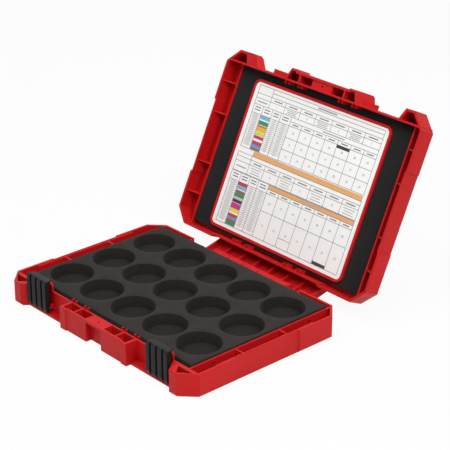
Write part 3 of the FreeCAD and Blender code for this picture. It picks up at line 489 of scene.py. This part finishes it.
# Places on the chart are in mm, as it lies when the lid is shut
chartPrint = {
    "face": 23.8,
    "rule": 0.5,
    "fineRule": 0.35,
    "patchLift": 0.05,
    "wordLift": 0.06,
    "ruleLift": 0.07,
    "figureDepth": 0.04,
    "headerFigure": 3.6,
    "rowFigure": 3.8,
    "firstRowFigure": 10,
    "words": {
        "title": (0.17, 2.0),
        "rightTitle": (0.25, 1.4),
        "rowName": (0.7, 1.6),
        "headerHead": (0.55, 1.2),
        "leftHead": (0.6, 1.1),
        "rightHead": (0.5, 1.2),
    },
    "leftHeadLines": (0.3, 0.6),
    "cellLine": 0.9,
    "smallLine": 0.6,
    "extraCell": ((2, 22.6), (82.6, 94)),
    "smallColumns": ((0, 0.5), (2, 0.3), (3, 0.35)),
    "textLines": ((0.25, 0.7), (0.5, 0.55), (0.75, 0.65)),
    "headerColumns": (-105.6, -80.6, -54.4, -28, -2, 25.4, 52, 79, 106),
    "leftColumns": (-105.6, -89, -72.4, -57, -38.8),
    "rightColumns": (-38.8, -18.6, 2, 22.6, 43.2, 64.4, 85.6, 106),
    "sections": (
        {
            "header": (-83.6, -78.6, -73.4, -67.6, -59.6),
            "bareBelow": -73.4,
            "leftHead": (-59.6, -48.6),
            "rightHead": (-59.6, -54, -48.6),
            "bigRows": (-48.6, -34, -19, -4.6),
            "end": -4.0,
            "smallPitch": 2.48,
            "swatches": (
                (-48.6, -43.8, "lightBlue"), (-42, -37, "green"), (-36.4, -34, "vermilion"),
                (-34, -29, "amber"), (-29, -26, "yellow"), (-26, -23.6, "lime"),
                (-23, -19, "crimson"), (-16, -11.4, "crimson"), (-11.4, -7, "blue"), (-7, -4.6, "brown"),
            ),
            "blackBar": (43.4, 64, -48.4, -45),
        },
        {
            "header": (3, 8, 14, 26.6),
            "bareBelow": 8,
            "leftHead": (27.4, 38.4),
            "rightHead": (27.4, 33, 38.4),
            "bigRows": (38.4, 60.6, 94),
            "end": 94,
            "smallPitch": 2.65,
            "swatches": (
                (38.6, 42.6, "crimson"), (42.6, 47.4, "lightBlue"), (48.6, 52.6, "brown"),
                (52.6, 57.4, "green"), (58, 60.4, "pink"), (60.4, 64.4, "black"),
                (65, 72, "magenta"), (72, 77, "yellow"), (79, 83, "crimson"),
                (83, 86.6, "blue"), (86.6, 89.4, "brown"), (89.4, 93.6, "green"),
            ),
            "blackBar": (64.6, 85.4, 90, 93.6),
        },
    ),
    "bands": ((-80.6, 106, -3.4, 3), (-38.8, 106, 27.4, 33)),
}


def chartPoint(x, y):
    return Matrix.Translation(Vector((x, y - hingeY, chartPrint["face"])) * mm)


def printBox(bm, left, right, top, bottom, ink, lift=chartPrint["patchLift"]):
    centre = chartPoint((left + right) / 2, (top + bottom) / 2)
    size = Matrix.Diagonal(((right - left) * mm, (bottom - top) * mm, 2 * lift * mm, 1))
    made = bmesh.ops.create_cube(bm, size=1.0, matrix=lidPlace @ centre @ size)
    for face in {face for vert in made["verts"] for face in vert.link_faces}:
        face.material_index = inkNames.index(ink)


def printText(bm, words, x, y, height, ink):
    curve = bpy.data.curves.new("figures", "FONT")
    curve.body = words
    curve.size = height * mm
    curve.extrude = chartPrint["figureDepth"] * mm
    curve.align_x = "CENTER"
    curve.align_y = "CENTER"
    holder = bpy.data.objects.new("figures", curve)
    mesh = bpy.data.meshes.new_from_object(holder)
    oldVerts, oldFaces = len(bm.verts), len(bm.faces)
    bm.from_mesh(mesh)
    bm.verts.ensure_lookup_table()
    bm.faces.ensure_lookup_table()
    turn = Matrix.Rotation(math.pi, 4, "X")
    bmesh.ops.transform(bm, matrix=lidPlace @ chartPoint(x, y) @ turn, verts=bm.verts[oldVerts:])
    for face in bm.faces[oldFaces:]:
        face.material_index = inkNames.index(ink)
    bpy.data.objects.remove(holder)
    bpy.data.curves.remove(curve)
    bpy.data.meshes.remove(mesh)


def printRules(bm, xs, ys):
    half = chartPrint["rule"] / 2
    lift = chartPrint["ruleLift"]
    for x in xs:
        printBox(bm, x - half, x + half, ys[0] - half, ys[-1] + half, "dark", lift)
    for y in ys:
        printBox(bm, xs[0] - half, xs[-1] + half, y - half, y + half, "dark", lift)


def printWords(bm, left, right, y, share, height, ink):
    middle = (left + right) / 2
    reach = (right - left) * share / 2
    printBox(bm, middle - reach, middle + reach, y - height / 2, y + height / 2, ink, chartPrint["wordLift"])


def printHeader(bm, section, number):
    half, lift = chartPrint["rule"] / 2, chartPrint["ruleLift"]
    words = chartPrint["words"]
    xs = chartPrint["headerColumns"]
    header = section["header"]
    headTop, low, high = header[-3:]
    printRules(bm, (xs[0], xs[-1]), (header[0], high))
    printBox(bm, xs[1] - half, xs[1] + half, header[0], high, "dark", lift)
    for y in header[1:-1]:
        start = xs[1] if y < section["bareBelow"] else xs[0]
        printBox(bm, start, xs[-1], y - half, y + half, "dark", lift)
    printRules(bm, xs, header[-3:])
    if number == 0:
        printWords(bm, xs[1], xs[-1], (header[0] + header[1]) / 2, *words["title"], "mid")
    perHeader = len(xs) - 2
    for index in range(1, len(xs) - 1):
        left, right = xs[index], xs[index + 1]
        printWords(bm, left, right, (headTop + low) / 2, *words["headerHead"], "dark")
        if (index + number) % 2:
            figure = str(number * perHeader + index)
            printText(bm, figure, (left + right) / 2, (low + high) / 2, chartPrint["headerFigure"], "dark")
        else:
            for down, share in chartPrint["textLines"]:
                printWords(bm, left, right, low + (high - low) * down, share, chartPrint["cellLine"], "mid")
    printWords(bm, xs[0], xs[1], (low + high) / 2, *words["rowName"], "mid")


def printSmallRows(bm, section):
    left = chartPrint["leftColumns"]
    headTop, top = section["leftHead"]
    pitch = section["smallPitch"]
    halfFine, half = chartPrint["fineRule"] / 2, chartPrint["rule"] / 2
    printRules(bm, left, (headTop, top, section["end"]))
    for index in range(len(left) - 1):
        for down in chartPrint["leftHeadLines"]:
            y = headTop + (top - headTop) * down
            printWords(bm, left[index], left[index + 1], y, *chartPrint["words"]["leftHead"], "dark")
    count = int((section["end"] - top) / pitch)
    for row in range(count):
        y = top + pitch * (row + 0.5)
        line = y + pitch / 2
        for index, share in chartPrint["smallColumns"]:
            printWords(bm, left[index], left[index + 1], y, share, chartPrint["smallLine"], "mid")
            if row < count - 1:
                printBox(bm, left[index], left[index + 1], line - halfFine, line + halfFine, "dark")
    for start, end, ink in section["swatches"]:
        printBox(bm, left[1] + half, left[2] - half, start, end, ink)


def printBigRows(bm, section):
    words = chartPrint["words"]
    right = chartPrint["rightColumns"]
    head, rows = section["rightHead"], section["bigRows"]
    printRules(bm, (right[0], right[-1]), head)
    printRules(bm, right, head[1:] + rows[1:])
    printWords(bm, right[0], right[-1], (head[0] + head[1]) / 2, *words["rightTitle"], "mid")
    for index in range(len(right) - 1):
        x = (right[index] + right[index + 1]) / 2
        printWords(bm, right[index], right[index + 1], (head[1] + head[2]) / 2, *words["rightHead"], "dark")
        for row in range(len(rows) - 1):
            y = (rows[row] + rows[row + 1]) / 2
            figure = str(chartPrint["firstRowFigure"] + 2 * index + row)
            printText(bm, figure, x, y, chartPrint["rowFigure"], "dark")
    printBox(bm, *section["blackBar"], "black")


def makeChartPrint():
    bm = bmesh.new()
    for band in chartPrint["bands"]:
        printBox(bm, *band, "orange")
    for number, section in enumerate(chartPrint["sections"]):
        printHeader(bm, section, number)
        printSmallRows(bm, section)
        printBigRows(bm, section)
    printRules(bm, *chartPrint["extraCell"])
    finishPiece(bm, "chartPrint", inks, "lid")


makeChartPrint()
print("chart printed")


# Floor, light and camera

studio = {
    "world": 0.24,
    "floorHalf": 6.0,
    "floorDrop": 0.0002,
    "floorGlow": 0.93,
    "floorDeep": 0.76,
    "floorLight": 0.80,
    "floorMottle": 3.0,
    "floorRough": 0.9,
    "lights": {
        "keyLight": {"place": (1.7, -0.2, 1.5), "target": (0, 0.05, 0.05), "power": 25.5, "width": 1.2},
        "frontLight": {"place": (-0.2, -0.95, 2.1), "target": (0, 0.1, 0.1), "power": 23.0, "width": 1.4},
        "topLight": {"place": (-0.2, 0.3, 2.2), "target": (0, 0.05, 0.05), "power": 11.0, "width": 1.6},
    },
}

# Found by fitting a camera to the edges of the case in the photo
photoView = {
    "place": (1.2781, -1.0585, 0.8774),
    "azimuth": 48.213,
    "elevation": 24.710,
    "sensor": 36.0,
    "lens": 129.195,
    "near": 0.05,
    "far": 20,
}


def seenBackdrop(tree):
    path = tree.nodes.new("ShaderNodeLightPath")
    total = path.outputs["Is Camera Ray"]
    for name in ("Is Glossy Ray", "Is Transmission Ray"):
        both = tree.nodes.new("ShaderNodeMath")
        both.operation = "ADD"
        both.use_clamp = True
        tree.links.new(total, both.inputs[0])
        tree.links.new(path.outputs[name], both.inputs[1])
        total = both.outputs["Value"]
    return total


def makeFloor():
    bm = bmesh.new()
    bmesh.ops.create_grid(bm, x_segments=1, y_segments=1, size=studio["floorHalf"])
    mesh = bpy.data.meshes.new("floor")
    bm.to_mesh(mesh)
    bm.free()
    floor = bpy.data.objects.new("floor", mesh)
    bpy.context.scene.collection.objects.link(floor)
    floor.location = (0, 0, -studio["floorDrop"])
    material, tree, shader, coords = newMaterial("floorPaint")
    mottle = noiseNode(tree, coords, studio["floorMottle"])
    colour = rampNode(tree, mottle.outputs["Fac"], grey(studio["floorDeep"]), grey(studio["floorLight"]))
    tree.links.new(colour.outputs["Color"], shader.inputs["Base Color"])
    shader.inputs["Roughness"].default_value = studio["floorRough"]
    glow = tree.nodes.new("ShaderNodeEmission")
    glow.inputs["Color"].default_value = (1, 1, 1, 1)
    mix = tree.nodes.new("ShaderNodeMixShader")
    share = tree.nodes.new("ShaderNodeMath")
    share.operation = "MULTIPLY"
    share.inputs[1].default_value = studio["floorGlow"]
    tree.links.new(seenBackdrop(tree), share.inputs[0])
    tree.links.new(share.outputs["Value"], mix.inputs["Fac"])
    tree.links.new(shader.outputs["BSDF"], mix.inputs[1])
    tree.links.new(glow.outputs["Emission"], mix.inputs[2])
    tree.links.new(mix.outputs["Shader"], tree.nodes["Material Output"].inputs["Surface"])
    mesh.materials.append(material)


def makeWorld():
    world = bpy.data.worlds.new("studio")
    bpy.context.scene.world = world
    world.use_nodes = True
    tree = world.node_tree
    soft = tree.nodes["Background"]
    soft.inputs["Color"].default_value = (1, 1, 1, 1)
    soft.inputs["Strength"].default_value = studio["world"]
    white = tree.nodes.new("ShaderNodeBackground")
    white.inputs["Color"].default_value = (1, 1, 1, 1)
    white.inputs["Strength"].default_value = 1.0
    mix = tree.nodes.new("ShaderNodeMixShader")
    tree.links.new(seenBackdrop(tree), mix.inputs["Fac"])
    tree.links.new(soft.outputs["Background"], mix.inputs[1])
    tree.links.new(white.outputs["Background"], mix.inputs[2])
    tree.links.new(mix.outputs["Shader"], tree.nodes["World Output"].inputs["Surface"])


def makeLight(name, setting):
    lamp = bpy.data.lights.new(name, "AREA")
    lamp.energy = setting["power"]
    lamp.shape = "DISK"
    lamp.size = setting["width"]
    holder = bpy.data.objects.new(name, lamp)
    bpy.context.scene.collection.objects.link(holder)
    holder.location = setting["place"]
    holder.rotation_mode = "QUATERNION"
    ahead = Vector(setting["target"]) - Vector(setting["place"])
    holder.rotation_quaternion = ahead.to_track_quat("-Z", "Y")


def makeCamera():
    data = bpy.data.cameras.new("photoCamera")
    data.sensor_fit = "HORIZONTAL"
    data.sensor_width = photoView["sensor"]
    data.lens = photoView["lens"]
    data.clip_start = photoView["near"]
    data.clip_end = photoView["far"]
    camera = bpy.data.objects.new("photoCamera", data)
    bpy.context.scene.collection.objects.link(camera)
    azimuth, elevation = math.radians(photoView["azimuth"]), math.radians(photoView["elevation"])
    ahead = Vector((-math.sin(azimuth) * math.cos(elevation),
                    math.cos(azimuth) * math.cos(elevation), -math.sin(elevation)))
    camera.location = photoView["place"]
    camera.rotation_mode = "QUATERNION"
    camera.rotation_quaternion = ahead.to_track_quat("-Z", "Y")
    bpy.context.scene.camera = camera


makeFloor()
makeWorld()
for name, setting in studio["lights"].items():
    makeLight(name, setting)
makeCamera()
bpy.context.scene.view_settings.view_transform = "Standard"
print("light and camera made")
